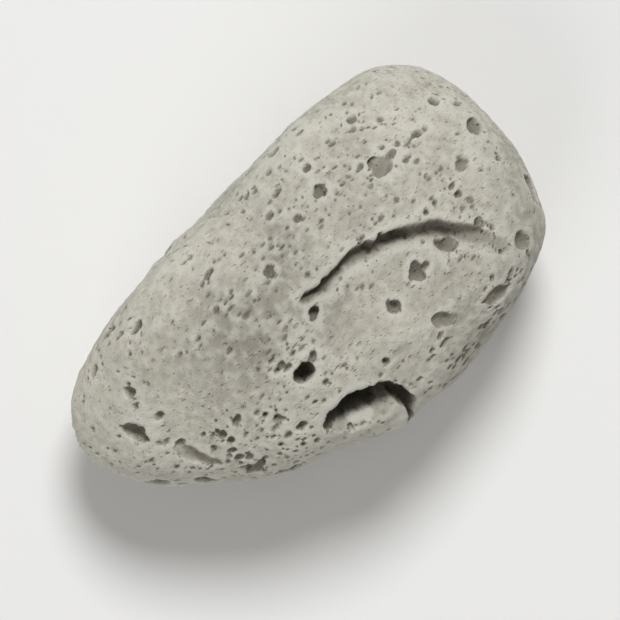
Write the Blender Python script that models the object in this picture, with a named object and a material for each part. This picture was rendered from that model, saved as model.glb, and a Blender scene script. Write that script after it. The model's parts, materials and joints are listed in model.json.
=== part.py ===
# A single pumice pebble: a rounded, lightly faceted lump of grey volcanic froth, lying on its
# flattest side. It is one solid. Its worn body is a convex block with soft facets and shallow
# swells. Every hollow is cut out of that: chipped scars with curved ledges, a gouge with a
# sliver of stone standing beside it, and burst gas bubbles.
#
# The model is in metres, +Z up, with X along the pebble's longest side and the origin under the
# middle of its box, at the height of the flat patch that it rests on. The values below are in
# millimetres and degrees, and their places are measured from the body's middle.

import math

import bmesh
import bpy
import numpy as np
from mathutils import Matrix, Vector

MM = 0.001

# Driving dimensions of the worn body.
LENGTH = 31.8
WIDTH = 18.2
HEIGHT = 14.2
MIDDLE = Vector((0.15, -0.08, 6.9))  # the body's middle, from the model's origin
CELL = 1.34  # side of one cell of the body's surface, before the hollows are cut

# The facets that bound the body: (azimuth, elevation) of the way that the facet faces, and its
# distance from the body's middle. SHARPNESS says how tightly the edges between them are
# rounded: 2 would be a soft ball and 40 a cut gem.
SHARPNESS = 10
SIDE_FACETS = [
    (14, 0, 17.1),
    (46, 0, 17.1),
    (91, 0, 9.0),
    (103, 0, 10.3),
    (148, 0, 18.9),
    (229, 0, 10.6),
    (253, 0, 8.6),
    (281, 0, 9.7),
    (302, 0, 15.0),
    (343, 0, 16.6),
]
UPPER_FACETS = [
    (12, 40, 14.6),
    (55, 44, 12.6),
    (95, 45, 10.0),
    (140, 40, 12.1),
    (190, 38, 14.0),
    (236, 44, 10.2),
    (272, 46, 9.7),
    (318, 43, 12.2),
    (80, 75, 7.75),
    (196, 72, 8.2),
    (288, 74, 7.6),
    (8, 74, 9.4),
]
LOWER_FACETS = [
    (0, -46, 14.2),
    (60, -42, 12.9),
    (100, -46, 10.2),
    (150, -44, 12.8),
    (205, -42, 12.7),
    (245, -45, 10.2),
    (290, -40, 10.9),
    (330, -46, 13.1),
    (30, -76, 8.2),
    (150, -74, 8.1),
    (265, -77, 7.9),
]

# Shallow swells over the whole body: waves in random directions, summed.
SWELL_SEED = 7
SWELL_WAVES = 14
SWELL_LENGTHS = (5.0, 11.0)
SWELL_HEIGHT = 0.11

# The chipped scars. Each is a flat round bite with a steep rim: it leaves a curved ledge where
# it meets the body and fades out where the body falls away below its floor. Given are the
# ledge's middle as (azimuth, elevation) seen from the body's middle, the direction from the
# bite's middle to the ledge and the direction that its floor faces, both again as (azimuth,
# elevation), then the bite's radius and the height of the ledge.
SCAR_SQUARENESS = 4  # power of the bite's rim: 2 would be an ellipsoid's
SCAR_HALF_HEIGHT = 1.3
SCARS = {
    "upper_scar": ((2, 42), (61, 0), (340, 79), 8.75, 0.9),
    "long_side_scar": ((96, 2), (5, 36), (91, -6), 4.0, 0.5),
    "under_scar": ((345, -30), (43, -6), (307, -72), 3.9, 0.5),
}

# The gouge along the near side: holes that go straight down and leave a sliver of stone
# standing beside them, which the last one cuts free at one end. Middle, semi-axes and heading.
GOUGE = [
    ((-2.2, -5.95, 4.9), (2.35, 0.75, 2.7), -3),
    ((0.0, -6.45, 4.7), (1.35, 0.8, 2.9), -42),
    ((0.95, -8.3, 3.3), (0.55, 1.0, 3.0), 0),
]

# The bubbles that give the upper side its look: (x, y) of the mouth's middle, its length and
# width, the depth, the heading of its length in degrees from +X, and how far the bubble's own
# middle lies under the surface, as a share of its depth (more makes a steeper hole).
UPPER_HOLLOWS = {
    "deep_bubble": (-2.9, -2.4, 1.95, 1.15, 1.5, 0, 0.25),
    "end_slot": (-13.0, 1.6, 2.0, 0.95, 0.8, -54, 0.1),
    "end_bubble": (-11.6, 3.7, 0.75, 0.85, 0.5, 0, 0.1),
    "ledge_start_bubble": (1.3, 0.5, 0.95, 0.75, 0.55, 20, 0.1),
    "ledge_foot_bubble": (-0.2, -0.2, 0.8, 0.75, 0.6, 0, 0.2),
    "crown_bubble": (-0.5, 3.4, 0.8, 0.65, 0.5, 0, 0.1),
    "crown_dimple": (8.6, 3.6, 1.4, 1.1, 0.5, 30, 0.0),
    "shoulder_bubble": (4.9, 4.9, 0.9, 0.75, 0.5, 40, 0.1),
    "blunt_end_bubble": (12.4, 0.5, 1.0, 0.75, 0.55, 30, 0.1),
    "scar_slot": (8.5, -2.5, 1.5, 0.9, 0.8, -57, 0.1),
    "scar_bubble": (6.3, -2.6, 1.15, 0.95, 0.7, 10, 0.1),
    "scar_pinhole": (3.8, -3.2, 0.8, 0.75, 0.6, 0, 0.2),
    "scar_trough": (5.3, -5.7, 1.8, 0.8, 0.5, -42, 0.0),
    "low_side_bubble": (-6.1, -3.6, 0.75, 0.7, 0.5, 0, 0.1),
    "rim_hollow": (12.2, -5.4, 1.4, 1.1, 0.6, -30, 0.0),
    "rim_trough": (8.7, -6.8, 1.8, 1.1, 0.5, -20, 0.0),
    "blunt_rim_hollow": (14.6, 1.7, 1.2, 1.0, 0.6, 60, 0.0),
    "edge_groove": (-11.2, -1.9, 3.0, 0.9, 0.35, -64, 0.0),
}

# Larger bubbles on the sides, the ends and underneath: the azimuth and elevation of the mouth
# as seen from the body's middle, then its length, width and depth, the turn of its length about
# the outward direction, and the sunk share, as above.
ROUND_HOLLOWS = {
    "blunt_end_cave": (6, -6, 3.2, 2.0, 1.9, 70, 0.1),
    "blunt_end_bubble_low": (352, -30, 1.5, 1.2, 1.1, 20, 0.2),
    "long_side_slot": (78, -10, 4.2, 1.4, 1.5, 8, 0.1),
    "long_side_bubble": (118, 14, 1.5, 1.3, 1.1, 0, 0.2),
    "long_side_pocket": (52, -26, 2.4, 1.7, 1.4, 30, 0.1),
    "narrow_end_cave": (176, -14, 2.3, 1.6, 1.5, 40, 0.1),
    "narrow_end_bubble": (196, 10, 1.2, 1.0, 0.9, 0, 0.2),
    "near_side_slot": (258, -18, 3.4, 1.2, 1.3, -12, 0.1),
    "near_side_bubble": (296, -12, 1.7, 1.3, 1.2, 30, 0.2),
    "under_cave": (312, -52, 2.9, 1.9, 1.6, 20, 0.1),
    "under_slot": (150, -42, 3.0, 1.2, 1.2, 60, 0.1),
    "under_bubble": (222, -46, 1.6, 1.3, 1.1, 0, 0.2),
}

# Burst bubbles strewn over the sides and the underside. They are drawn out along one common
# direction, the way that the froth flowed before it set.
BUBBLE_SEED = 21
BUBBLE_COUNT = 26
BUBBLE_WIDTHS = (0.8, 1.7)
BUBBLE_STRETCH = (1.0, 1.9)
BUBBLE_FLOW = Vector((1.0, 0.25, 0.12)).normalized()
BUBBLE_HIGHEST = 0.45  # most that a strewn bubble faces up: those of the top are placed by hand
BUBBLE_SPACING = 1.35  # gap between the middles of two hollows, in their mean widths
BUBBLE_DEPTH = 0.6  # of a strewn bubble, as a share of its width
BUBBLE_SUNK = 0.15
FINE_BUBBLE_LENGTH = 2.2  # a bubble longer than this gets more faces
REST_CLEAR = (5.0, 3.2, 0.8)  # half length, half width and height kept free of bubbles underneath

STONE_COLOUR = (0.47, 0.45, 0.385, 1.0)
STONE_ROUGHNESS = 0.95
SHARP_ANGLE = 28  # an edge that turns more than this is shaded sharp


def outward(azimuth, elevation):
    """Unit vectors for azimuths and elevations in degrees."""
    azimuth, elevation = np.radians(azimuth), np.radians(elevation)
    level = np.cos(elevation)
    return np.stack([np.cos(azimuth) * level, np.sin(azimuth) * level, np.sin(elevation)], -1)


FACETS = np.array(SIDE_FACETS + UPPER_FACETS + LOWER_FACETS, float)
FACET_NORMALS = outward(FACETS[:, 0], FACETS[:, 1])


def block_size(points):
    """1 on the faceted block, less inside it: a power mean of each point's reach along each facet."""
    reach = np.maximum(points @ FACET_NORMALS.T / FACETS[:, 2], 0.0)
    return (reach**SHARPNESS).sum(-1) ** (1.0 / SHARPNESS)


def swell(points):
    """Height of the shallow swells at each point: a sum of plane waves."""
    random = np.random.default_rng(SWELL_SEED)
    directions = random.normal(size=(SWELL_WAVES, 3))
    directions /= np.linalg.norm(directions, axis=1)[:, None]
    lengths = random.uniform(*SWELL_LENGTHS, SWELL_WAVES)
    phases = random.uniform(0.0, math.tau, SWELL_WAVES)
    waves = np.cos(points @ (directions * math.tau / lengths[:, None]).T + phases)
    return SWELL_HEIGHT * waves.sum(-1) / math.sqrt(SWELL_WAVES / 2)


def on_body(points):
    """Pushes points out from the middle on to the swollen body."""
    on_block = points / block_size(points)[:, None]
    away = on_block / np.linalg.norm(on_block, axis=1)[:, None]
    return on_block + away * swell(on_block)[:, None]


def top_at(x, y):
    """The point of the upper surface at (x, y), by halving the height between bounds."""
    low, high = 0.0, HEIGHT
    for _ in range(30):
        middle = (low + high) / 2
        point = np.array([[x, y, middle]])
        reached = np.linalg.norm(on_body(point))
        if np.linalg.norm(point) < reached:
            low = middle
        else:
            high = middle
    return Vector((x, y, middle))


def side_at(azimuth, elevation):
    """The surface point seen from the middle in that direction."""
    return Vector(on_body(outward(azimuth, elevation)[None, :])[0])


def facing(point):
    """Outward direction of the block at a surface point, from differences of block_size."""
    step = 0.05
    shifts = np.eye(3) * step
    ahead = block_size(np.array(point) + shifts)
    behind = block_size(np.array(point) - shifts)
    return Vector(ahead - behind).normalized()


def lay(normal, along):
    """Axes with Z along the normal and X as near as can be to the direction given."""
    x_axis = (along - normal * along.dot(normal)).normalized()
    return Matrix((x_axis, normal.cross(x_axis), normal)).transposed()


def body_mesh():
    """A box of even cells, pushed out on to the body and cut flat where it rests."""
    mesh = bmesh.new()
    bmesh.ops.create_cube(mesh, size=2.0)
    for axis, size in enumerate((LENGTH, WIDTH, HEIGHT)):
        quarter_turn = math.pi / 4 * size  # a side's length on the rounded body
        edges = [e for e in mesh.edges if abs((e.verts[0].co - e.verts[1].co)[axis]) > 1e-6]
        cuts = round(quarter_turn / CELL) - 1
        bmesh.ops.subdivide_edges(mesh, edges=edges, cuts=cuts, use_grid_fill=True)
    # Equal steps along the box become equal angles, so that cells near its corners don't crowd.
    cube = np.array([v.co for v in mesh.verts])
    ball = np.tan(cube * math.pi / 4)
    ball /= np.linalg.norm(ball, axis=1)[:, None]
    body = on_body(ball * (LENGTH / 2, WIDTH / 2, HEIGHT / 2))
    for vertex, point in zip(mesh.verts, body):
        vertex.co = Vector(point) + MIDDLE
    everything = mesh.verts[:] + mesh.edges[:] + mesh.faces[:]
    down = (0, 0, -1)
    bmesh.ops.bisect_plane(mesh, geom=everything, plane_no=down, clear_outer=True)
    rim = [e for e in mesh.edges if e.is_boundary]
    bmesh.ops.edgeloop_fill(mesh, edges=rim)
    bmesh.ops.scale(mesh, vec=(MM, MM, MM), verts=mesh.verts)
    bmesh.ops.recalc_face_normals(mesh, faces=mesh.faces)
    return mesh


def ellipsoid(mesh, middle, axes, semi_axes, fineness):
    """Adds an ellipsoid to a mesh. Axes is a rotation, and the lengths are in millimetres."""
    size = Matrix.Diagonal(semi_axes).to_4x4()
    place = Matrix.Translation(middle + MIDDLE)
    bmesh.ops.create_icosphere(
        mesh,
        subdivisions=fineness,
        radius=1.0,
        matrix=Matrix.Scale(MM, 4) @ place @ axes.to_4x4() @ size,
    )


def bubble(mesh, point, along, length, width, depth, sunk):
    """Cuts a bubble at a surface point. Its mouth keeps its size however far it is sunk."""
    normal = facing(point)
    point = on_floor(point)
    swollen = 1.0 / math.sqrt(1.0 - sunk**2)
    reach = depth / (1.0 + sunk)
    semi_axes = Vector((length / 2 * swollen, width / 2 * swollen, reach))
    fineness = 3 if length > FINE_BUBBLE_LENGTH else 2
    ellipsoid(mesh, point - normal * reach * sunk, lay(normal, along), semi_axes, fineness)


def scar_place(ledge, toward, floor_normal, radius, depth):
    """Middle and axes of a scar's bite: X points to its ledge and Z out of its floor."""
    normal = Vector(outward(*floor_normal))
    axes = lay(normal, Vector(outward(*toward)))
    middle = side_at(*ledge) - axes.col[0] * radius + normal * (SCAR_HALF_HEIGHT - depth)
    return middle, axes


def on_floor(point):
    """Lowers a point of the body on to the floor of the scar that it lies over, if any."""
    for given in SCARS.values():
        middle, axes = scar_place(*given)
        radius = given[3]
        inside = axes.transposed() @ (point - middle)
        level = math.hypot(inside.x, inside.y) / radius
        if level < 1:
            power = SCAR_SQUARENESS
            floor = -SCAR_HALF_HEIGHT * (1 - level**power) ** (1 / power)
            inside.z = min(inside.z, floor)
            point = middle + axes @ inside
    return point


def scar(mesh, ledge, toward, floor_normal, radius, depth):
    """Adds a scar's bite: a disc with a squared rim, |r|^n + |z|^n = 1 in its own axes."""
    middle, axes = scar_place(ledge, toward, floor_normal, radius, depth)
    ball = bmesh.ops.create_uvsphere(mesh, u_segments=40, v_segments=8, radius=1.0)
    for vertex in ball["verts"]:
        level = math.hypot(vertex.co.x, vertex.co.y)
        power = SCAR_SQUARENESS
        vertex.co /= (level**power + abs(vertex.co.z) ** power) ** (1 / power)
    size = Matrix.Diagonal((radius, radius, SCAR_HALF_HEIGHT)).to_4x4()
    place = Matrix.Translation(middle + MIDDLE)
    bmesh.ops.transform(
        mesh,
        matrix=Matrix.Scale(MM, 4) @ place @ axes.to_4x4() @ size,
        verts=ball["verts"],
    )


def strewn_places():
    """Surface points for the strewn bubbles, clear of the top, the resting patch and each other."""
    random = np.random.default_rng(BUBBLE_SEED)
    taken = [(top_at(h[0], h[1]), h[2]) for h in UPPER_HOLLOWS.values()]
    taken += [(side_at(h[0], h[1]), h[2]) for h in ROUND_HOLLOWS.values()]
    places = []
    while len(places) < BUBBLE_COUNT:
        direction = random.normal(size=3) * (LENGTH, WIDTH, HEIGHT)
        width = float(random.uniform(*BUBBLE_WIDTHS) * random.uniform(0.6, 1.0))
        stretch = float(random.uniform(*BUBBLE_STRETCH))
        point = Vector(on_body(direction[None, :])[0])
        low = point.z + MIDDLE.z < REST_CLEAR[2]
        resting = low and abs(point.x) < REST_CLEAR[0] and abs(point.y) < REST_CLEAR[1]
        crowded = any((point - p).length < BUBBLE_SPACING * (width + w) / 2 for p, w in taken)
        if facing(point).z > BUBBLE_HIGHEST or resting or crowded:
            continue
        taken.append((point, width))
        places.append((point, width, stretch))
    return places


def hollows_mesh():
    """Every hollow of the pebble in one mesh, for a single cut."""
    mesh = bmesh.new()
    for x, y, length, width, depth, heading, sunk in UPPER_HOLLOWS.values():
        bubble(mesh, top_at(x, y), Vector(outward(heading, 0)), length, width, depth, sunk)
    for azimuth, elevation, length, width, depth, turn, sunk in ROUND_HOLLOWS.values():
        point = side_at(azimuth, elevation)
        along = Vector((0, 0, 1)).cross(facing(point))
        along.rotate(Matrix.Rotation(math.radians(turn), 3, facing(point)))
        bubble(mesh, point, along, length, width, depth, sunk)
    for point, width, stretch in strewn_places():
        bubble(mesh, point, BUBBLE_FLOW, width * stretch, width, width * BUBBLE_DEPTH, BUBBLE_SUNK)
    for middle, semi_axes, heading in GOUGE:
        turn = Matrix.Rotation(math.radians(heading), 3, "Z")
        ellipsoid(mesh, Vector(middle), turn, Vector(semi_axes), 3)
    for ledge, toward, floor_normal, radius, depth in SCARS.values():
        scar(mesh, ledge, toward, floor_normal, radius, depth)
    return mesh


def add_object(name, mesh):
    data = bpy.data.meshes.new(name)
    mesh.to_mesh(data)
    mesh.free()
    made = bpy.data.objects.new(name, data)
    bpy.context.scene.collection.objects.link(made)
    return made


def cut_hollows(stone, hollows):
    """Cuts the hollows out, and applies the cut so that their rims can be shaded sharp."""
    cut = stone.modifiers.new("cut_hollows", "BOOLEAN")
    cut.operation = "DIFFERENCE"
    cut.solver = "EXACT"
    cut.object = hollows
    cut.use_self = True  # neighbouring hollows run into each other
    whole = stone.data
    stone.data = bpy.data.meshes.new_from_object(
        stone.evaluated_get(bpy.context.evaluated_depsgraph_get())
    )
    stone.data.name = stone.name
    stone.modifiers.remove(cut)
    bpy.data.meshes.remove(whole)
    bpy.data.objects.remove(hollows)


def stone_material():
    material = bpy.data.materials.new("pumice")
    material.use_nodes = True
    material.diffuse_color = STONE_COLOUR
    shader = material.node_tree.nodes["Principled BSDF"]
    shader.inputs["Base Color"].default_value = STONE_COLOUR
    shader.inputs["Roughness"].default_value = STONE_ROUGHNESS
    shader.inputs["Metallic"].default_value = 0.0
    return material


def main():
    for old in list(bpy.data.objects):
        bpy.data.objects.remove(old)
    stone = add_object("pumice_stone", body_mesh())
    stone.data.materials.append(stone_material())
    cut_hollows(stone, add_object("hollows", hollows_mesh()))
    stone.data.shade_smooth()
    stone.data.set_sharp_from_angle(angle=math.radians(SHARP_ANGLE))


main()
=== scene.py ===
# Pumice pebble: a worn lump of grey volcanic froth, its pores and its studio.
import json
import math
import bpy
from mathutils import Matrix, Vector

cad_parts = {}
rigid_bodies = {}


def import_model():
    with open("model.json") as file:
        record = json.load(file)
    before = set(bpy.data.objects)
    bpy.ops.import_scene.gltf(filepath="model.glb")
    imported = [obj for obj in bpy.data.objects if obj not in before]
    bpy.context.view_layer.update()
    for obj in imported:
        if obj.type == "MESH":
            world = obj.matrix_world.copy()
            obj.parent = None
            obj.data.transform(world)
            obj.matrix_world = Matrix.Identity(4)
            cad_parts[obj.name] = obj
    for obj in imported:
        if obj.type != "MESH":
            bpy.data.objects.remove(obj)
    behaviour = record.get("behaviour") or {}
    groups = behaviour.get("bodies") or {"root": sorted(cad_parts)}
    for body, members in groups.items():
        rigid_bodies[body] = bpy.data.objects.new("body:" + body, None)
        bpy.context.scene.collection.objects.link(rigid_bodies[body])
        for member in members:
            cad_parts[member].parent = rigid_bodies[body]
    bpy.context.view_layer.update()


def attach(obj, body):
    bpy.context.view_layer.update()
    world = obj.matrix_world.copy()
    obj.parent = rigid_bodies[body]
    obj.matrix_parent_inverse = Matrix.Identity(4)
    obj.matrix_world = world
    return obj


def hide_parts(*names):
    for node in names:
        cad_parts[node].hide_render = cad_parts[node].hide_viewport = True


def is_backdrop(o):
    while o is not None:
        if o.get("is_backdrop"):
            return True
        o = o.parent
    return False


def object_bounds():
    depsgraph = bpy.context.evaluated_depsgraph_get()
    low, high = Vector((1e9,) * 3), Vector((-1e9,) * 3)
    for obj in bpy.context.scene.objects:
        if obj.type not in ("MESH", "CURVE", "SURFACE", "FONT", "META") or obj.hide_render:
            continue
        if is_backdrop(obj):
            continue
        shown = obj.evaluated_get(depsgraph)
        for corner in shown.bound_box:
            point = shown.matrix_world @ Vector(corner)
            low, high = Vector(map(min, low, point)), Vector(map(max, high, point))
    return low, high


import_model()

from types import SimpleNamespace

import bpy
import numpy as np
from mathutils import Vector

mm = 0.001
print("frame loaded")


# The worn body; lengths in mm, angles in degrees, places from the body's middle

pebble = {
    "length": 31.8,
    "width": 18.2,
    "height": 14.2,
    "middle": (0.15, -0.08, 6.9),  # of the body, from the frame's origin
    "cells": (197, 113, 88),  # along the length, width and height of the skin's box
    "sharpness": 10,  # of the edges between facets: 2 is a soft ball
    "facets": (  # azimuth, elevation, distance from the middle
        (14, 0, 17.1), (46, 0, 17.1), (91, 0, 9.0), (103, 0, 10.3), (148, 0, 18.9),
        (229, 0, 10.6), (253, 0, 8.6), (281, 0, 9.7), (302, 0, 15.0), (343, 0, 16.6),
        (12, 40, 14.6), (55, 44, 12.6), (95, 45, 10.0), (140, 40, 12.1), (190, 38, 14.0),
        (236, 44, 10.2), (272, 46, 9.7), (318, 43, 12.2),
        (80, 75, 7.75), (196, 72, 8.2), (288, 74, 7.6), (8, 74, 9.4),
        (0, -46, 14.2), (60, -42, 12.9), (100, -46, 10.2), (150, -44, 12.8),
        (205, -42, 12.7), (245, -45, 10.2), (290, -40, 10.9), (330, -46, 13.1),
        (30, -76, 8.2), (150, -74, 8.1), (265, -77, 7.9),
    ),
    "swellSeed": 7,
    "swellWaves": 14,
    "swellLengths": (5.0, 11.0),
    "swellHeight": 0.11,
    "halvings": 30,  # of the height, to find the top over a place
}
middle = np.array(pebble["middle"])
facets = np.array(pebble["facets"], float)


def outward(azimuth, elevation):
    # (cos a cos e, sin a cos e, sin e)
    azimuth, elevation = np.radians(azimuth), np.radians(elevation)
    level = np.cos(elevation)
    return np.stack([np.cos(azimuth) * level, np.sin(azimuth) * level, np.sin(elevation)], -1)


def unit(vectors):
    # Each vector over its own length.
    return vectors / np.linalg.norm(vectors, axis=-1, keepdims=True)


facetNormals = outward(facets[:, 0], facets[:, 1])


def reach(points):
    # How far each point gets towards each facet: n . p / h, and 0 on the facet's far side.
    return np.maximum(points @ facetNormals.T / facets[:, 2], 0.0)


def facing(points):
    # Outward direction of the faceted block: the slope of (sum of reach^k)^(1/k).
    return unit((reach(points) ** (pebble["sharpness"] - 1) / facets[:, 2]) @ facetNormals)


def swell(points):
    # Shallow swells: a sum of cosine waves in random directions.
    count = pebble["swellWaves"]
    random = np.random.default_rng(pebble["swellSeed"])
    directions = unit(random.normal(size=(count, 3)))
    lengths = random.uniform(*pebble["swellLengths"], count)
    phases = random.uniform(0.0, math.tau, count)
    waves = np.cos(points @ (directions * math.tau / lengths[:, None]).T + phases)
    return pebble["swellHeight"] * waves.sum(-1) / math.sqrt(count / 2)


def onBody(points):
    # Each point is pushed from the middle on to the block, p / (sum of reach^k)^(1/k), and then
    # out by the swell.
    k = pebble["sharpness"]
    block = points / (reach(points) ** k).sum(-1, keepdims=True) ** (1 / k)
    return block + unit(block) * swell(block)[:, None]


def sideAt(azimuth, elevation):
    # The body's skin in one direction from its middle.
    return onBody(outward(azimuth, elevation)[None, :])[0]


def topAt(x, y):
    # The body's upper skin over (x, y), by halving the height between two bounds.
    low, high = 0.0, pebble["height"]
    for step in range(pebble["halvings"]):
        z = (low + high) / 2
        point = np.array([[x, y, z]])
        inside = np.linalg.norm(point) < np.linalg.norm(onBody(point))
        low, high = (z, high) if inside else (low, z)
    return np.array([x, y, z])


def boxSkin(cells):
    # Six grids of two parameters, the sides of a box from -1 to 1. A corner that sides share has
    # one number, so the skin is closed, and each ring of corners turns outwards.
    cells = np.array(cells)
    sides = []
    for axis in range(3):
        a, b = (axis + 1) % 3, (axis + 2) % 3
        u, v = np.meshgrid(np.arange(cells[a]), np.arange(cells[b]), indexing="ij")
        ring = ((0, 0), (1, 0), (1, 1), (0, 1))
        for place, turns in ((0, ring[::-1]), (cells[axis], ring)):
            corners = np.full((u.size, 4, 3), place)
            for corner, (du, dv) in enumerate(turns):
                corners[:, corner, a] = (u + du).ravel()
                corners[:, corner, b] = (v + dv).ravel()
            sides.append(corners)
    size = cells + 1
    ids = np.concatenate(sides) @ (size[1] * size[2], size[2], 1)
    used, faces = np.unique(ids, return_inverse=True)
    lattice = np.stack(np.unravel_index(used, size), -1)
    return lattice / cells * 2 - 1, faces.reshape(-1, 4)


def wornBody():
    # Box to ball by equal angles, unit(tan(q pi / 4)), then ball to body. It lies on z = 0.
    cube, faces = boxSkin(pebble["cells"])
    ball = unit(np.tan(cube * math.pi / 4))
    points = onBody(ball * (pebble["length"] / 2, pebble["width"] / 2, pebble["height"] / 2))
    points[:, 2] = np.maximum(points[:, 2], -middle[2])
    return points, faces


def skinNormals(points, faces):
    # Mean of the faces round each vertex, weighted by area: half the cross of their diagonals.
    corners = points[faces]
    faceNormals = np.cross(corners[:, 2] - corners[:, 0], corners[:, 3] - corners[:, 1])
    total = np.zeros_like(points)
    for corner in range(4):
        for axis in range(3):
            total[:, axis] += np.bincount(
                faces[:, corner], faceNormals[:, axis], minlength=len(points)
            )
    return unit(total)


def neighbourMean(values, faces):
    # Mean of the corners next to each vertex round its faces.
    total = np.zeros_like(values)
    count = np.zeros(len(values))
    for corner in range(4):
        for step in (1, 3):
            other = faces[:, (corner + step) % 4]
            count += np.bincount(faces[:, corner], minlength=len(values))
            for axis in range(values.shape[1]):
                total[:, axis] += np.bincount(
                    faces[:, corner], values[other, axis], minlength=len(values)
                )
    return total / count[:, None]


points, faces = wornBody()
print("body:", len(points), "vertices,", len(faces) * 2, "triangles")


# Noise, and what all the hollows use

noiseGrid = {
    "seed": 2,
    "size": 48,  # values along each side, after which they repeat
    "start": 1000.0,  # keeps every place above zero
}
gridShape = (noiseGrid["size"],) * 3 + (3,)
gridValues = np.random.default_rng(noiseGrid["seed"]).uniform(-1, 1, gridShape)
hollowShade = np.zeros(len(points))  # painted shade: 0 on the open skin, 1 at the bottom of a deep hollow
roomy = np.zeros(len(points))  # 1 at the bottom of a large hollow, more on a broken ledge
leastShare = 1e-6  # stands in for 0 in a share that is divided by


def noiseAt(where, cell):
    # Three random values on a grid of this cell size, blended over each cell by 3t^2 - 2t^3.
    scaled = where / cell + noiseGrid["start"]
    corner = np.floor(scaled).astype(int)
    t = scaled - corner
    t = t * t * (3 - 2 * t)
    total = np.zeros((len(where), 3))
    for shift in np.ndindex(2, 2, 2):
        weight = np.prod(np.where(shift, t, 1 - t), axis=1)
        i, j, k = ((corner + shift) % noiseGrid["size"]).T
        total += weight[:, None] * gridValues[i, j, k]
    return total


def layAxes(normal, along):
    # Rows: X as near as can be to along, Y, and Z on the normal.
    x = unit(along - normal * (along @ normal))
    return np.array([x, np.cross(normal, x), normal])


# The scars: shallow bites, each with a ledge

scars = {
    "squareness": 4,
    "halfHeight": 1.3,
    # ledge (azimuth, elevation), towards the ledge, way that the floor faces, radius, depth
    "bites": (
        ((2, 42), (61, 0), (340, 79), 8.75, 0.9),
        ((96, 2), (5, 36), (91, -6), 4.0, 0.5),
        ((345, -30), (43, -6), (307, -72), 3.9, 0.5),
    ),
    # for each bite, the rounding where it meets the body, how much of the rim's wander it
    # takes, and how rough its ledge is
    "edges": ((0.04, 1, 0), (0.1, 2, 1.6), (0.1, 2, 1.6)),
    "ledgeWidth": 0.5,  # of the roughness on each side of the rim
    "ledgeFrom": 0.15,  # depth of bite from which the ledge is fully rough
    # the first bite's rim: turns about its middle and the radius there
    "rim": (
        (-180, 8.8), (-48, 8.85), (-30, 8.75), (-20, 8.55), (-8, 8.58), (0, 8.45), (13, 8.25),
        (27, 8.32), (36, 8.25), (42, 8.2), (47, 8.6), (53, 9.0), (180, 8.8),
    ),
    "rimWander": ((1.3, 0.17), (0.45, 0.1), (0.2, 0.04)),  # size of its bends, how far they go
    # the crack along that ledge's foot: turn, half width, depth
    "crack": (
        (-50, 0.4, 0.0), (-38, 0.55, 0.3), (-28, 0.6, 0.55), (-15, 0.54, 0.8), (0, 0.46, 1.15),
        (12, 0.4, 1.15), (30, 0.34, 1.05), (42, 0.28, 1.0), (48, 0.28, 0.7), (52, 0.28, 0.0),
    ),
    "crackUnder": 0.2,  # how far it reaches in under the ledge, for each mm of its depth
    "crackFromRim": 0.6,  # of its width
    "crackEdge": 0.14,  # it stops within this of the rim
    "crackWander": 2,  # how much its depth follows the rim's straying
    "crackDark": 0.95,  # depth from which it gets its full painted shade
    "clear": 1e3,  # height that stands for no floor at all
}


def softLower(a, b, soften):
    # The lower of two heights, blended where they meet: -s log(e^(-a/s) + e^(-b/s)).
    return -soften * np.logaddexp(-a / soften, -b / soften)


def scarPlace(ledge, toward, floorFaces, radius, depth):
    # A bite's middle lies one radius back from its ledge, with its floor the depth below it.
    normal = outward(*floorFaces)
    axes = layAxes(normal, outward(*toward))
    place = sideAt(*ledge) - axes[0] * radius + normal * (scars["halfHeight"] - depth)
    return place, axes


def scarFloor(level):
    # Height of the bite's lower side: -h (1 - r^n)^(1/n), and out of reach past its rim.
    n = scars["squareness"]
    inside = np.clip(1 - np.minimum(level, 1) ** n, 0, 1) ** (1 / n)
    return np.where(level < 1, -scars["halfHeight"] * inside, scars["clear"])


def onFloor(point):
    # A point of the body goes down on to the floor of the scar that it lies over, if any.
    for bite in scars["bites"]:
        place, axes = scarPlace(*bite)
        local = axes @ (point - place)
        floor = scarFloor(np.hypot(local[0], local[1]) / bite[3])
        point = place + np.array([local[0], local[1], min(local[2], floor)]) @ axes
    return point


def crackDepth(turn, inward, wander):
    # A bell curve across the rim, depth * e^(-x^2), cut off outside it.
    turns, widths, depths = np.transpose(scars["crack"])
    across = inward / np.interp(turn, turns, widths) - scars["crackFromRim"]
    depth = np.interp(turn, turns, depths) * (1 + scars["crackWander"] * wander)
    cut = np.clip(1 + inward / scars["crackEdge"], 0, 1)
    return depth * np.exp(-(across**2)) * cut


def biteScars(points):
    # Every vertex over a bite sinks to its floor, the lower of the skin and scarFloor(r / rim).
    # The first bite has its own rim and a crack along its foot.
    for number, (bite, edge) in enumerate(zip(scars["bites"], scars["edges"])):
        soften, stray, broken = edge
        place, axes = scarPlace(*bite)
        local = (points - place) @ axes.T
        turn = np.degrees(np.arctan2(local[:, 1], local[:, 0]))
        radius = np.hypot(local[:, 0], local[:, 1])
        rim = np.interp(turn, *np.transpose(scars["rim"])) if number == 0 else bite[3]
        wander = sum(noiseAt(points, cell)[:, 0] * size for cell, size in scars["rimWander"])
        rim = rim + wander * stray
        near = np.abs(local[:, 2]) < 2 * scars["halfHeight"]
        lowered = softLower(local[:, 2], scarFloor(radius / rim), soften)
        lowered = np.where(near & (radius < rim), lowered, local[:, 2])
        bitten = np.clip((local[:, 2] - lowered) / scars["ledgeFrom"], 0, 1)
        ledge = np.exp(-(((rim - radius) / scars["ledgeWidth"]) ** 2))
        roomy[:] = np.maximum(roomy, bitten * ledge * broken)
        local[:, 2] = lowered
        if number == 0:
            crack = np.where(near, crackDepth(turn, rim - radius, wander), 0)
            local[:, 2] -= crack
            local[:, :2] *= (1 + scars["crackUnder"] * crack / radius)[:, None]
            # the crack is painted with shade, darkest where it is deepest
            hollowShade[:] = np.maximum(hollowShade, crack / scars["crackDark"])
        points = place + local @ axes
    return points


# The burst bubbles

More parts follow.
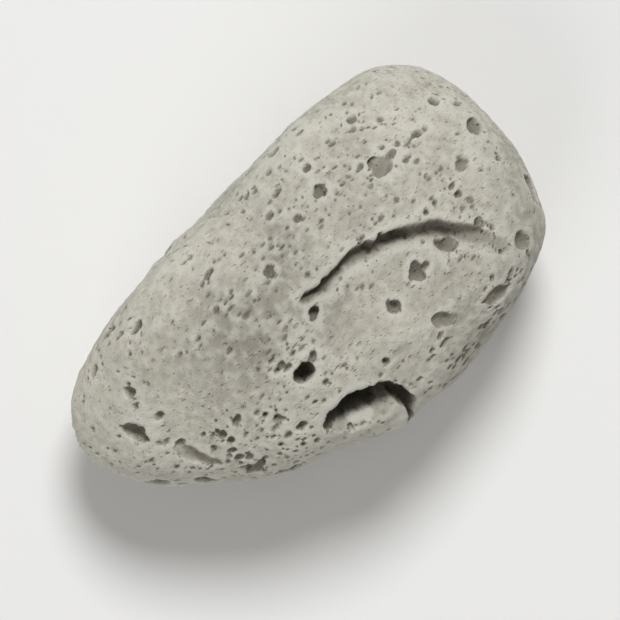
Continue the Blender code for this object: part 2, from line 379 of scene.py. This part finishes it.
bubbles = {
    # x, y, length, width, depth, heading, share of the depth that the bubble's middle is sunk
    "upper": (
        (-3.12, -2.66, 1.8, 1.15, 2.3, 14, 0.25),
        (-2.05, -2.2, 1.0, 0.5, 0.5, 22, 0.0),
        (-13.0, 1.6, 2.0, 0.95, 0.8, -54, 0.1),
        (-11.6, 3.7, 0.75, 0.85, 0.5, 0, 0.1),
        (1.35, 0.6, 1.3, 0.5, 0.4, 12, 0.0),
        (-0.2, -0.2, 0.8, 0.75, 0.8, 0, 0.2),
        (-0.5, 3.4, 0.8, 0.65, 0.5, 0, 0.1),
        (8.6, 3.6, 1.4, 1.1, 0.5, 30, 0.0),
        (4.9, 4.9, 0.9, 0.75, 0.5, 40, 0.1),
        (12.4, 0.5, 1.0, 0.75, 0.35, 30, 0.0),
        (8.5, -2.5, 1.5, 0.9, 0.8, -57, 0.1),
        (6.3, -2.6, 1.15, 0.95, 0.7, 10, 0.1),
        (3.8, -3.2, 0.8, 0.75, 0.6, 0, 0.2),
        (5.3, -5.7, 1.8, 0.8, 0.35, -42, 0.0),
        (-6.1, -3.6, 0.75, 0.7, 0.5, 0, 0.1),
        (12.2, -5.4, 1.4, 1.1, 0.4, -30, 0.0),
        (8.7, -6.8, 1.8, 1.1, 0.5, -20, 0.0),
        (14.6, 1.7, 1.2, 1.0, 0.6, 60, 0.0),
        (-11.2, -1.9, 3.0, 0.9, 0.35, -64, 0.0),
    ),
    # azimuth, elevation, length, width, depth, turn, sunk share
    "round": (
        (6, -6, 3.2, 2.0, 1.9, 70, 0.1),
        (352, -30, 1.5, 1.2, 1.1, 20, 0.2),
        (78, -10, 4.2, 1.4, 1.5, 8, 0.1),
        (118, 14, 1.5, 1.3, 1.1, 0, 0.2),
        (52, -26, 2.4, 1.7, 1.4, 30, 0.1),
        (176, -14, 2.3, 1.6, 1.5, 40, 0.1),
        (196, 10, 1.2, 1.0, 0.9, 0, 0.2),
        (258, -18, 3.4, 1.2, 1.3, -12, 0.1),
        (296, -12, 1.7, 1.3, 1.2, 30, 0.2),
        (312, -52, 2.9, 1.9, 1.6, 20, 0.1),
        (150, -42, 3.0, 1.2, 1.2, 60, 0.1),
        (222, -46, 1.6, 1.3, 1.1, 0, 0.2),
    ),
    # each of these has smaller ones run into it: how many, and their size and depth beside it
    "mergeSeed": 12,
    "merged": (1, 4),
    "mergedWidths": (0.35, 0.65),
    "mergedDepths": (0.45, 0.9),
    "mergedAt": 0.43,  # their distance from its middle, in its length and width
    "alone": 2,  # the first so many of the upper ones have none
    # bubbles strewn over the sides and the underside
    "seed": 21,
    "count": 26,
    "widths": (0.8, 1.7),
    "slimming": (0.6, 1.0),  # a second random share of the width
    "stretch": (1.0, 1.9),
    "flow": (1.0, 0.25, 0.12),  # the way that the froth flowed, which draws them out
    "highest": 0.45,  # the most that one faces up
    "spacing": 1.35,  # between two middles, in their mean widths
    "depth": 0.6,  # share of the width
    "sunk": 0.15,
    "restClear": (5.0, 3.2, 0.8),  # half sizes of the bare middle of the resting patch
    # finer ones all over: how many, the widths' bounds and the power of their fall
    "fineSeed": 5,
    "fineCount": 3000,
    "fineWidths": (0.22, 0.62),
    "finePower": 5.2,
    "fineStretch": (1.0, 2.4),
    "fineDepth": (0.5, 1.2),
    "fineSunk": 0.1,
    "fineGap": 0.42,
    "fineCrowds": (3.4, 1.3, 0.62),  # size of crowds, how much they differ, usual share kept
    "nearby": 1.4,  # half sizes from its middle within which a bubble moves the skin
    "reachUp": 0.6,  # widths over and under its mouth
    "rimSlide": 0.055,  # skin nearer than this to a rim is slid on to it
    # outlines are bent by noise, in shares of the width: its cell, and how far it shifts
    "bends": ((0.85, 0.17), (0.3, 0.06)),
    "roomyFrom": 0.33,  # half width from which a hollow has rough walls of its own
    "darkAt": 1.5,  # a hollow this many half widths deep gets the full painted shade inside
    "darkFade": 0.8,  # how the painted shade fades from the bottom to the rim: 1 is evenly
}
flow = unit(np.array(bubbles["flow"]))


def bendAt(points, width):
    # Two noises, each a share of the width in cell and in size.
    return sum(noiseAt(points, cell * width) * size * width for cell, size in bubbles["bends"])


def sinkHole(points, place, axes, halfSizes, sunk, reachUp):
    # A bubble's wall as an ellipsoid: a vertex at share r of the way from the mouth's middle to
    # its rim goes to angle t = r * mouth up from the bottom, so to (sin t, -cos t) of the half
    # sizes. Skin close to the rim slides on to it, and skin that is lower already stays.
    a, b, depth = halfSizes
    near = ((points - place) ** 2).sum(-1) < (bubbles["nearby"] * max(a, b) + reachUp) ** 2
    start = (points[near] + bendAt(points[near], 2 * min(a, b)) - place) @ axes.T
    share = np.maximum(np.hypot(start[:, 0] / a, start[:, 1] / b), leastShare)
    height = start[:, 2]
    level = np.abs(height) < reachUp
    slide = level & (np.abs(share - 1) * min(a, b) < bubbles["rimSlide"])
    inside = level & (share < 1) & ~slide
    angle = share * math.acos(-sunk)
    wide = 1 / math.sqrt(1 - sunk**2)
    drop = depth / (1 + sunk)
    wall = -drop * sunk - drop * np.cos(angle) + height * share**4
    inside &= wall < height
    grow = np.where(inside, np.sin(angle) * wide / share, np.where(slide, 1 / share, 1))
    end = np.stack([start[:, 0] * grow, start[:, 1] * grow, np.where(inside, wall, height)], -1)
    points[near] += (end - start) @ axes
    # Painted shade in the hole: stronger the deeper it is, and darkest at its bottom.
    shade = min(1, depth / (bubbles["darkAt"] * min(a, b)))
    within = np.where(inside, 1 - share, 0)
    hollowShade[near] = np.maximum(hollowShade[near], within**bubbles["darkFade"] * shade)
    if min(a, b) > bubbles["roomyFrom"]:
        roomy[near] = np.maximum(roomy[near], np.where(inside, 1 - share**3, 0))


def sinkBubble(points, point, normal, along, length, width, depth, sunk):
    # One hole with its mouth's length along the direction given.
    axes = layAxes(normal, along)
    halfSizes = (length / 2, width / 2, depth)
    sinkHole(points, point, axes, halfSizes, sunk, width * bubbles["reachUp"])


def sinkMerged(points, point, normal, along, length, width, depth, sunk, random):
    # A bubble and the smaller ones that broke into it: each sits on its rim's ellipse,
    # (length cos a, width sin a) * mergedAt from the middle.
    sinkBubble(points, point, normal, along, length, width, depth, sunk)
    axes = layAxes(normal, along)
    for turn in random.uniform(0, math.tau, random.integers(*bubbles["merged"])):
        out = np.array([math.cos(turn) * length, math.sin(turn) * width]) * bubbles["mergedAt"]
        small = width * random.uniform(*bubbles["mergedWidths"])
        stretched = small * random.uniform(*bubbles["stretch"])
        deep = depth * random.uniform(*bubbles["mergedDepths"])
        onRim = point + out @ axes[:2]
        sinkBubble(points, onRim, normal, along, stretched, small, deep, sunk)


def strewnPlaces():
    # Random places clear of the top, of the resting patch and of each other.
    random = np.random.default_rng(bubbles["seed"])
    taken = [(topAt(b[0], b[1]), b[2]) for b in bubbles["upper"]]
    taken += [(sideAt(b[0], b[1]), b[2]) for b in bubbles["round"]]
    size = (pebble["length"], pebble["width"], pebble["height"])
    places = []
    while len(places) < bubbles["count"]:
        direction = random.normal(size=3) * size
        width = random.uniform(*bubbles["widths"]) * random.uniform(*bubbles["slimming"])
        stretch = random.uniform(*bubbles["stretch"])
        point = onBody(direction[None, :])[0]
        resting = (np.abs(point + (0, 0, middle[2])) < bubbles["restClear"]).all()
        crowded = any(
            np.linalg.norm(point - p) < bubbles["spacing"] * (width + w) / 2 for p, w in taken
        )
        if facing(point)[2] > bubbles["highest"] or resting or crowded:
            continue
        taken.append((point, width))
        places.append((point, width, stretch))
    return places


def sinkLarge(points):
    # The upper ones by (x, y), the round ones by direction, each turned in the skin's own plane
    # by level cos t + (normal x level) sin t, and then the strewn ones, along the flow.
    random = np.random.default_rng(bubbles["mergeSeed"])
    for number, (x, y, length, width, depth, heading, sunk) in enumerate(bubbles["upper"]):
        point, along = topAt(x, y), outward(heading, 0)
        normal, point = facing(point), onFloor(point)
        if number < bubbles["alone"]:
            sinkBubble(points, point, normal, along, length, width, depth, sunk)
        else:
            sinkMerged(points, point, normal, along, length, width, depth, sunk, random)
    for azimuth, elevation, length, width, depth, turn, sunk in bubbles["round"]:
        point = sideAt(azimuth, elevation)
        normal = facing(point)
        level = unit(np.cross((0, 0, 1), normal))
        turned = math.radians(turn)
        along = level * math.cos(turned) + np.cross(normal, level) * math.sin(turned)
        sinkMerged(points, point, normal, along, length, width, depth, sunk, random)
    for point, width, stretch in strewnPlaces():
        depth, length = width * bubbles["depth"], width * stretch
        normal = facing(point)
        sinkMerged(points, point, normal, flow, length, width, depth, bubbles["sunk"], random)


def sinkFine(points, faces):
    # Small bubbles at random vertices, sunk along the skin's own direction there, on the open
    # skin and on the walls of the large hollows. Their widths fall off by a power,
    # w = (lo^(1-p) + q (hi^(1-p) - lo^(1-p)))^(1/(1-p)).
    random = np.random.default_rng(bubbles["fineSeed"])
    normals = skinNormals(points, faces)
    power = 1 - bubbles["finePower"]
    low, high = (w**power for w in bubbles["fineWidths"])
    spread = random.uniform(size=bubbles["fineCount"])
    widths = np.sort((low + spread * (high - low)) ** (1 / power))[::-1]
    centres = random.integers(len(points), size=len(widths))
    cell, differ, usual = bubbles["fineCrowds"]
    share = usual + differ * noiseAt(points[centres], cell)[:, 0]
    kept = random.uniform(size=len(widths)) < share
    taken = np.zeros((0, 4))
    for width, centre in zip(widths[kept], centres[kept]):
        stretch = random.uniform(*bubbles["fineStretch"])
        depth = width * random.uniform(*bubbles["fineDepth"])
        point, normal = points[centre].copy(), normals[centre]
        away = np.linalg.norm(taken[:, :3] - point, axis=1)
        if (away - (taken[:, 3] + width) * bubbles["fineGap"] < 0).any():
            continue
        taken = np.vstack([taken, (*point, width)])
        length = width * (1 + (stretch - 1) * (1 - abs(normal @ flow)))
        sinkBubble(points, point, normal, flow, length, width, depth, bubbles["fineSunk"])
    return len(taken)


# The gouge: an open bubble in the near side, a lip that stands in it and a cleft round the lip

gouge = {
    # the open bubble: middle of its mouth, way that it faces, heading, half sizes, depth, sunk
    "mouth": ((-1.7, -6.7, 5.4), (260, 56), -18, (2.6, 1.25), 1.1, 0.0),
    "mouthReach": 1.6,  # over and under the mouth
    # the lip's ellipsoid: middle, half sizes, heading
    "lip": ((-1.6, -7.15, 1.7), (2.4, 1.2, 2.65), -28),
    "lipSquare": 3.6,  # 2 is an ellipsoid, and more is boxier
    "lipBlend": 9,  # how tightly it joins the skin: low is a wide fillet
    "lipLevels": (0.3, 2),  # the skin between these levels moves, where 1 is its surface
    "lipBend": 1.5,  # width that its bends are a share of
    "lipSmooth": 14,  # passes of smoothing on it
    "lipEdge": 0.1,  # levels past its surface over which the smoothing fades
    # the cleft over the lip and round its end: points, with the half width and depth there
    "cleft": (
        (-4.2, -5.85, 5.5, 0.26, 0.5), (-3.65, -5.85, 5.8, 0.55, 1.5),
        (-2.95, -5.95, 5.9, 0.86, 2.6), (-2.1, -6.1, 5.9, 1.0, 3.3),
        (-1.25, -6.32, 5.8, 0.98, 3.4), (-0.4, -6.7, 5.5, 0.74, 2.7),
        (0.2, -7.2, 5.1, 0.45, 1.9), (0.42, -7.85, 4.5, 0.36, 1.5),
        (0.42, -8.35, 3.7, 0.3, 1.2), (0.1, -8.6, 2.8, 0.24, 0.8), (-0.5, -8.85, 2.0, 0.17, 0.3),
    ),
    "cleftSamples": 100,
    "cleftNear": 2.2,  # only skin this near to the line is looked at
    "cleftEvery": 6,  # samples from one to the next that this is measured from
    "cleftReach": 2.0,  # over and under the line
    "cleftBeyond": 9,  # share that stands for out of reach
    "cleftBend": 1.3,
    # how strongly the cleft is painted with shade
    "cleftDark": 1.3,
}


def smoothLine(controls, count):
    # Catmull-Rom: between two controls, ((-t+2t^2-t^3) a + (2-5t^2+3t^3) b + (t+4t^2-3t^3) c
    # + (t^3-t^2) d) / 2.
    controls = np.array(controls)
    ends = np.concatenate([controls[:1], controls, controls[-1:]])
    along = np.linspace(0, len(controls) - 1, count)
    first = np.minimum(along.astype(int), len(controls) - 2)
    t = (along - first)[:, None]
    a, b, c, d = (ends[first + step] for step in range(4))
    ways = (-t + 2 * t**2 - t**3, 2 - 5 * t**2 + 3 * t**3, t + 4 * t**2 - 3 * t**3, t**3 - t**2)
    return sum(way * end for way, end in zip(ways, (a, b, c, d))) / 2


def sinkCleft(points):
    # A slot along a line: a vertex at share r of the half width b from the nearest sample goes
    # to b sin(r pi / 2) across and depth * cos(r pi / 2) in, against the body's own facing.
    line = smoothLine(gouge["cleft"], gouge["cleftSamples"])
    places, widths, depths = line[:, :3], line[:, 3], line[:, 4]
    normals = facing(places)
    few = places[:: gouge["cleftEvery"]]
    near = ((points[:, None] - few) ** 2).sum(-1).min(1) < gouge["cleftNear"] ** 2
    start = points[near] + bendAt(points[near], gouge["cleftBend"])
    offset = start[:, None] - places
    height = (offset * normals).sum(-1)
    across = offset - height[..., None] * normals
    shares = np.linalg.norm(across, axis=-1) / widths
    shares[np.abs(height) > gouge["cleftReach"]] = gouge["cleftBeyond"]
    best = shares.argmin(1)
    row = np.arange(len(best))
    share = np.maximum(shares[row, best], leastShare)
    slide = np.abs(share - 1) * widths[best] < bubbles["rimSlide"]
    inside = (share < 1) & ~slide
    angle = share * math.pi / 2
    grow = np.where(inside, np.sin(angle) / share, np.where(slide, 1 / share, 1))
    down = np.where(inside, depths[best] * np.cos(angle), 0)
    points[near] += across[row, best] * (grow - 1)[:, None] - normals[best] * down[:, None]
    # Painted shade in the cleft, darkest along its line.
    within = np.where(inside, 1 - share**3, 0)
    hollowShade[near] = np.maximum(hollowShade[near], within * gouge["cleftDark"])
    roomy[near] = np.maximum(roomy[near], within)


def raiseLip(points, faces):
    # Skin inside a squared ellipsoid moves straight out to its surface, from level
    # s = (sum |(p - c) / h|^n)^(1/n) to (s^k + 1)^(1/k), and is smoothed.
    place, halfSizes, heading = gouge["lip"]
    axes = layAxes(np.array([0.0, 0.0, 1.0]), outward(heading, 0))
    offset = points + bendAt(points, gouge["lipBend"]) - place
    n, k = gouge["lipSquare"], gouge["lipBlend"]
    level = (np.abs(offset @ axes.T / halfSizes) ** n).sum(1) ** (1 / n)
    least, most = gouge["lipLevels"]
    grow = (level**k + 1) ** (1 / k) / np.maximum(level, least)
    grow = np.where((level > least) & (level < most), grow, 1)
    points += offset * (grow - 1)[:, None]
    # the lip itself gets no painted shade
    hollowShade[level < 1] = 0
    smoothed = np.clip((1 + gouge["lipEdge"] - level) / gouge["lipEdge"], 0, 1)[:, None]
    for step in range(gouge["lipSmooth"]):
        points += (neighbourMean(points, faces) - points) * smoothed


def openGouge(points, faces):
    # The shallow open bubble, then the lip, then the cleft.
    mouth, faced, heading, halfSizes, depth, sunk = gouge["mouth"]
    axes = layAxes(outward(*faced), outward(heading, 0))
    sinkHole(points, np.array(mouth), axes, (*halfSizes, depth), sunk, gouge["mouthReach"])
    raiseLip(points, faces)
    sinkCleft(points)


points = biteScars(points)
openGouge(points, faces)
sinkLarge(points)
print("hollows sunk, fine bubbles:", sinkFine(points, faces))


# The fine relief of the skin

relief = {
    "roundRims": 0.3,  # share of the way to the neighbours' mean
    # size of the lumps, their height, and how many times more of it the large hollows get
    "lumps": ((2.6, 0.085, 0), (1.1, 0.05, 0.5), (0.5, 0.04, 2.0), (0.27, 0.035, 1.5)),
    "smooth": 14,  # passes of smoothing that the cavity and edge marks compare with
    "markDepth": 0.05,
}


def roughen(points, faces):
    # Rims are rounded by moving each vertex part of the way to the mean of its neighbours. Then
    # the sum of noises lifts the skin along its normal, more in the hollows.
    points = points + (neighbourMean(points, faces) - points) * relief["roundRims"]
    normals = skinNormals(points, faces)
    height = np.zeros(len(points))
    for cell, lift, gain in relief["lumps"]:
        height += lift * noiseAt(points, cell)[:, 0] * (1 + gain * roomy)
    return points + normals * height[:, None]


def marks(points, faces):
    # How far the skin lies under (cavity, painted as shade into the colour) or over (edge, for
    # wear) a smoothed copy of itself.
    smooth = points
    for step in range(relief["smooth"]):
        smooth = neighbourMean(smooth, faces)
    normals = skinNormals(smooth, faces)
    under = ((smooth - points) * normals).sum(-1) / relief["markDepth"]
    return np.clip(under, 0, 1), np.clip(-under, 0, 1)


points = roughen(points, faces)
cavity, edge = marks(points, faces)
points += middle
points[:, 2] = np.maximum(points[:, 2], 0.0)
print("relief done")


def addAttribute(mesh, name, values):
    # One number for each vertex.
    attribute = mesh.attributes.new(name, "FLOAT", "POINT")
    attribute.data.foreach_set("value", values.astype(np.float32))


mesh = bpy.data.meshes.new("pumiceStone")
mesh.vertices.add(len(points))
mesh.vertices.foreach_set("co", (points * mm).astype(np.float32).ravel())
mesh.loops.add(faces.size)
mesh.loops.foreach_set("vertex_index", faces.astype(np.int32).ravel())
mesh.polygons.add(len(faces))
mesh.polygons.foreach_set("loop_start", np.arange(0, faces.size, 4, dtype=np.int32))
mesh.update(calc_edges=True)
mesh.validate()
mesh.shade_smooth()
# painted shade of the hollows; the same mark also roughens them
addAttribute(mesh, "hollow", hollowShade)
# painted shade in the creases and dips
addAttribute(mesh, "cavity", cavity)
addAttribute(mesh, "edge", edge)
stone = bpy.data.objects.new("pumiceStone", mesh)
bpy.context.scene.collection.objects.link(stone)
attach(stone, "root")
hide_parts("pumice_stone")
print("stone meshed")


# The finish

froth = {
    "pale": (0.60, 0.577, 0.495, 1),
    "dull": (0.47, 0.45, 0.378, 1),
    "cream": (0.64, 0.585, 0.48, 1),
    # a browner dark, painted as shade into the pores and creases
    "inside": (0.27, 0.24, 0.195, 1),
    # a darker one, painted as shade into the hollows, the crack and the cleft
    "deep": (0.20, 0.178, 0.142, 1),
    "worn": (0.70, 0.68, 0.61, 1),
    # the colour of the stains, and of the painted shade on the lip
    "stainAndShadeColour": (0.335, 0.316, 0.265, 1),
    "grain": (0.06, 0.05, 0.045, 1),
    "roughness": 0.93,
    "specular": 0.25,
    "flowTurn": (0, 0.12, -0.24),  # radians
    "flowStretch": 0.42,  # scale along the flow beside the one across it
    # patches laid over the dull base: along the flow or not, scale, detail and roughness of the
    # noise, its values at the patch's edge and middle, share of the colour, colour
    "patches": (
        (False, 0.16, 4, 0.55, 0.35, 0.65, 1.0, "pale"),
        (False, 0.45, 3, 0.55, 0.5, 0.75, 0.5, "cream"),
        (True, 5.0, 5, 0.7, 0.35, 0.8, 0.5, "worn"),
        (False, 7.0, 4, 0.7, 0.5, 0.72, 0.4, "dull"),
    ),
    # marks on the skin over those: attribute, share, colour; cavity and hollow are painted shade,
    # edge is wear
    "skinMarks": (("edge", 0.6, "worn"), ("cavity", 0.35, "inside"), ("hollow", 0.8, "deep")),
    # scale, least and most radius in cells, depth in mm, and darkness of the painted shade in the
    # pore
    "pores": (
        (2.6, -0.40, 0.34, 0.13, 0.65),
        (4.6, -0.25, 0.38, 0.08, 0.55),
        (8.5, -0.05, 0.44, 0.04, 0.4),
    ),
    "poreEdge": 0.22,
    "poreBend": 0.22,  # mm
    "bendNoise": (4.0, 2),  # scale, detail
    "grainScale": 1.35,
    "grainEdge": (0.045, 0.085),  # the grain's radius in cells, and where it has faded
    "grainShare": 0.8,
    "broken": (6.5, 6, 0.74, 0.12),  # scale, detail, roughness and height of the broken froth
    "hollowRough": 1.2,  # how much rougher the hollows are
    "bump": 0.9,
    # duller patches, one of them painted shade: middle, half sizes, how dull
    "stainsAndShade": (
        ((-1.8, 1.6, 6.0), (5.6, 3.9, 5.0), 1.5),
        ((3.5, 6.5, 4.0), (5.0, 3.5, 5.0), 0.35),
        ((12.0, -5.0, 3.0), (6.0, 5.0, 6.0), 0.55),
        ((-1.5, -7.3, 4.5), (3.2, 1.8, 2.2), 0.35),
        # painted shade: the arch's shade on the upper right of the lip
        ((-0.3, -7.0, 4.6), (1.8, 1.2, 2.0), 0.7),
        ((6.0, -8.0, 3.0), (4.0, 2.5, 4.0), 0.75),
    ),
    "stainCell": 1.8,
    "stainBroken": 0.9,
}


def stainAndShadeAt(points):
    # A bell curve e^(-d^2) about the middle of each patch, stain and painted shade alike, broken
    # up by noise.
    broken = 1 + froth["stainBroken"] * noiseAt(points, froth["stainCell"])[:, 0]
    total = np.zeros(len(points))
    for place, halfSizes, dull in froth["stainsAndShade"]:
        away = np.linalg.norm((points - place) / halfSizes, axis=1)
        total += dull * np.exp(-(away**2))
    return total * np.clip(broken, 0, 1)


# stains, and painted shade on the lip
addAttribute(mesh, "stain", stainAndShadeAt(points - middle))


def nodeTools(tree):
    # Short calls that each add a node to the tree; all but add give its one output.
    def add(kind, inputs=(), **settings):
        node = tree.nodes.new(kind)
        for name, value in settings.items():
            setattr(node, name, value)
        for name, value in dict(inputs).items():
            if isinstance(value, bpy.types.NodeSocket):
                tree.links.new(value, node.inputs[name])
            else:
                node.inputs[name].default_value = value
        return node

    def noise(vector, scale, detail, roughness):
        inputs = {"Vector": vector, "Scale": scale, "Detail": detail, "Roughness": roughness}
        return add("ShaderNodeTexNoise", inputs).outputs["Fac"]

    def ramp(value, low, high, toLow=0.0, toHigh=1.0):
        # from toLow to toHigh by 3t^2 - 2t^3
        inputs = {"Value": value, "From Min": low, "From Max": high}
        inputs.update({"To Min": toLow, "To Max": toHigh})
        return add("ShaderNodeMapRange", inputs, interpolation_type="SMOOTHSTEP").outputs["Result"]

    def mix(factor, a, b):
        # (1 - factor) a + factor b, of colours
        return add("ShaderNodeMix", {0: factor, 6: a, 7: b}, data_type="RGBA").outputs[2]

    def maths(operation, *values):
        return add("ShaderNodeMath", dict(enumerate(values)), operation=operation).outputs[0]

    def mark(name):
        return add("ShaderNodeAttribute", attribute_name=name).outputs["Fac"]

    return SimpleNamespace(add=add, noise=noise, ramp=ramp, mix=mix, maths=maths, mark=mark)


def poreLayers(tools, inMm, alongFlow):
    # A pore to a Voronoi cell, 0 outside it and 1 from poreEdge within its own radius. The
    # pores are finer than the mesh, drawn out along the flow and bent a little by noise.
    scale, detail = froth["bendNoise"]
    bend = tools.add("ShaderNodeTexNoise", {"Vector": inMm, "Scale": scale, "Detail": detail})
    inputs = {0: bend.outputs["Color"], 1: (froth["poreBend"],) * 3, 2: alongFlow}
    bent = tools.add("ShaderNodeVectorMath", inputs, operation="MULTIPLY_ADD").outputs[0]
    layers = []
    for scale, least, most, deep, dark in froth["pores"]:
        cell = tools.add("ShaderNodeTexVoronoi", {"Vector": bent, "Scale": scale})
        own = tools.add("ShaderNodeSeparateColor", {"Color": cell.outputs["Color"]}).outputs[0]
        inputs = {"Value": own, "To Min": least, "To Max": most}
        radius = tools.add("ShaderNodeMapRange", inputs).outputs["Result"]
        inside = tools.maths("SUBTRACT", radius, cell.outputs["Distance"])
        layers.append((tools.ramp(inside, 0.0, froth["poreEdge"]), deep, dark))
    return layers


def frothColour(tools, inMm, alongFlow, layers):
    # Broad patches, stains with painted shade on the lip, pores painted dark as shade, worn
    # edges, painted shade in creases and hollows, and dark grains, each mixed over what is there.
    colour = froth["dull"]
    for flowing, scale, detail, roughness, low, high, share, name in froth["patches"]:
        noise = tools.noise(alongFlow if flowing else inMm, scale, detail, roughness)
        patch = tools.maths("MULTIPLY", tools.ramp(noise, low, high), share)
        colour = tools.mix(patch, colour, froth[name])
    # stains, and painted shade of the arch on the lip
    colour = tools.mix(tools.mark("stain"), colour, froth["stainAndShadeColour"])
    # pores painted dark, as the shade inside them
    for pore, deep, dark in layers:
        colour = tools.mix(tools.maths("MULTIPLY", pore, dark), colour, froth["inside"])
    # painted shade in creases and hollows, and wear on the edges
    for attribute, share, name in froth["skinMarks"]:
        marked = tools.maths("MULTIPLY", tools.mark(attribute), share)
        colour = tools.mix(marked, colour, froth[name])
    cell = tools.add("ShaderNodeTexVoronoi", {"Vector": inMm, "Scale": froth["grainScale"]})
    grain = tools.ramp(cell.outputs["Distance"], *froth["grainEdge"], 1.0, 0.0)
    return tools.mix(tools.maths("MULTIPLY", grain, froth["grainShare"]), colour, froth["grain"])


def frothRelief(tools, alongFlow, layers):
    # Fine noise makes the broken froth and each pore takes its depth off it, all times
    # 1 + hollow * hollowRough.
    scale, detail, roughness, lift = froth["broken"]
    height = tools.maths("MULTIPLY", tools.noise(alongFlow, scale, detail, roughness), lift)
    for pore, deep, dark in layers:
        height = tools.maths("ADD", tools.maths("MULTIPLY", pore, -deep), height)
    rougher = tools.maths("MULTIPLY_ADD", tools.mark("hollow"), froth["hollowRough"], 1.0)
    height = tools.maths("MULTIPLY", height, rougher)
    inputs = {"Height": height, "Strength": froth["bump"], "Distance": mm}
    return tools.add("ShaderNodeBump", inputs).outputs[0]


def pumiceFinish():
    # Matte grey froth, patterned in millimetres of the object's own space.
    material = bpy.data.materials.new("pumiceFroth")
    material.use_nodes = True
    tree = material.node_tree
    tools = nodeTools(tree)
    place = tools.add("ShaderNodeTexCoord").outputs["Object"]
    toMm = {"Vector": place, "Scale": (1 / mm,) * 3}
    inMm = tools.add("ShaderNodeMapping", toMm).outputs[0]
    toFlow = {"Vector": inMm, "Rotation": froth["flowTurn"], "Scale": (froth["flowStretch"], 1, 1)}
    alongFlow = tools.add("ShaderNodeMapping", toFlow).outputs[0]
    layers = poreLayers(tools, inMm, alongFlow)
    shader = tree.nodes["Principled BSDF"]
    tree.links.new(frothColour(tools, inMm, alongFlow, layers), shader.inputs["Base Color"])
    tree.links.new(frothRelief(tools, alongFlow, layers), shader.inputs["Normal"])
    shader.inputs["Roughness"].default_value = froth["roughness"]
    shader.inputs["Specular IOR Level"].default_value = froth["specular"]
    return material


mesh.materials.append(pumiceFinish())
print("finish made")


# The studio: floor, soft lights, camera; lengths in metres

studio = {
    "floorSize": 1.2,
    "floorDrop": 1e-5,  # how far the floor is under the stone
    "floorColour": (0.83, 0.83, 0.82, 1),
    "floorRoughness": 0.9,
    "sky": (1.0, 0.985, 0.965, 1),
    "skyStrength": 0.265,
    "azimuth": -41.9,
    "elevation": 89.3,
    "lens": 480.0,
    "frameWidth": 0.0375,
    "clipStart": 0.001,
    # name: (bearing from the picture's right, elevation, distance, size, watts)
    "lights": {
        "keyLight": (84, 56, 0.90, 0.34, 6.0),
        "fillLight": (238, 38, 0.90, 0.60, 1.9),
    },
}


def floorFinish():
    # One plain matte colour.
    material = bpy.data.materials.new("paleFloor")
    material.use_nodes = True
    shader = material.node_tree.nodes["Principled BSDF"]
    shader.inputs["Base Color"].default_value = studio["floorColour"]
    shader.inputs["Roughness"].default_value = studio["floorRoughness"]
    return material


def addFloor():
    # A square of four corners a hair under the stone.
    half, z = studio["floorSize"] / 2, -studio["floorDrop"]
    floorMesh = bpy.data.meshes.new("floor")
    corners = [(-half, -half, z), (half, -half, z), (half, half, z), (-half, half, z)]
    floorMesh.from_pydata(corners, [], [(0, 1, 2, 3)])
    floorMesh.materials.append(floorFinish())
    floor = bpy.data.objects.new("floor", floorMesh)
    bpy.context.scene.collection.objects.link(floor)
    floor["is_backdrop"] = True


def addLights():
    # An even sky, and discs at outward(bearing, elevation) * distance that face the stone.
    world = bpy.data.worlds.new("softSky")
    bpy.context.scene.world = world
    world.use_nodes = True
    background = world.node_tree.nodes["Background"]
    background.inputs["Color"].default_value = studio["sky"]
    background.inputs["Strength"].default_value = studio["skyStrength"]
    for name, (bearing, elevation, distance, size, watts) in studio["lights"].items():
        data = bpy.data.lights.new(name, "AREA")
        data.shape = "DISK"
        data.size = size
        data.energy = watts
        light = bpy.data.objects.new(name, data)
        toLight = Vector(outward(bearing + studio["azimuth"], elevation))
        light.location = toLight * distance
        light.rotation_euler = toLight.to_track_quat("Z", "Y").to_euler()
        bpy.context.scene.collection.objects.link(light)


def addCamera():
    # back = (sin a cos e, -cos a cos e, sin e); the distance makes the frame the width wanted
    azimuth, elevation = math.radians(studio["azimuth"]), math.radians(studio["elevation"])
    back = Vector((
        math.sin(azimuth) * math.cos(elevation),
        -math.cos(azimuth) * math.cos(elevation),
        math.sin(elevation),
    ))
    data = bpy.data.cameras.new("camera")
    data.lens = studio["lens"]
    data.clip_start = studio["clipStart"]
    camera = bpy.data.objects.new("camera", data)
    low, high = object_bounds()
    away = studio["frameWidth"] * data.lens / data.sensor_width
    camera.location = (low + high) / 2 + back * away
    camera.rotation_euler = back.to_track_quat("Z", "Y").to_euler()
    bpy.context.scene.collection.objects.link(camera)
    bpy.context.scene.camera = camera


addFloor()
addLights()
addCamera()
bpy.context.scene.view_settings.view_transform = "Standard"
print("studio set")
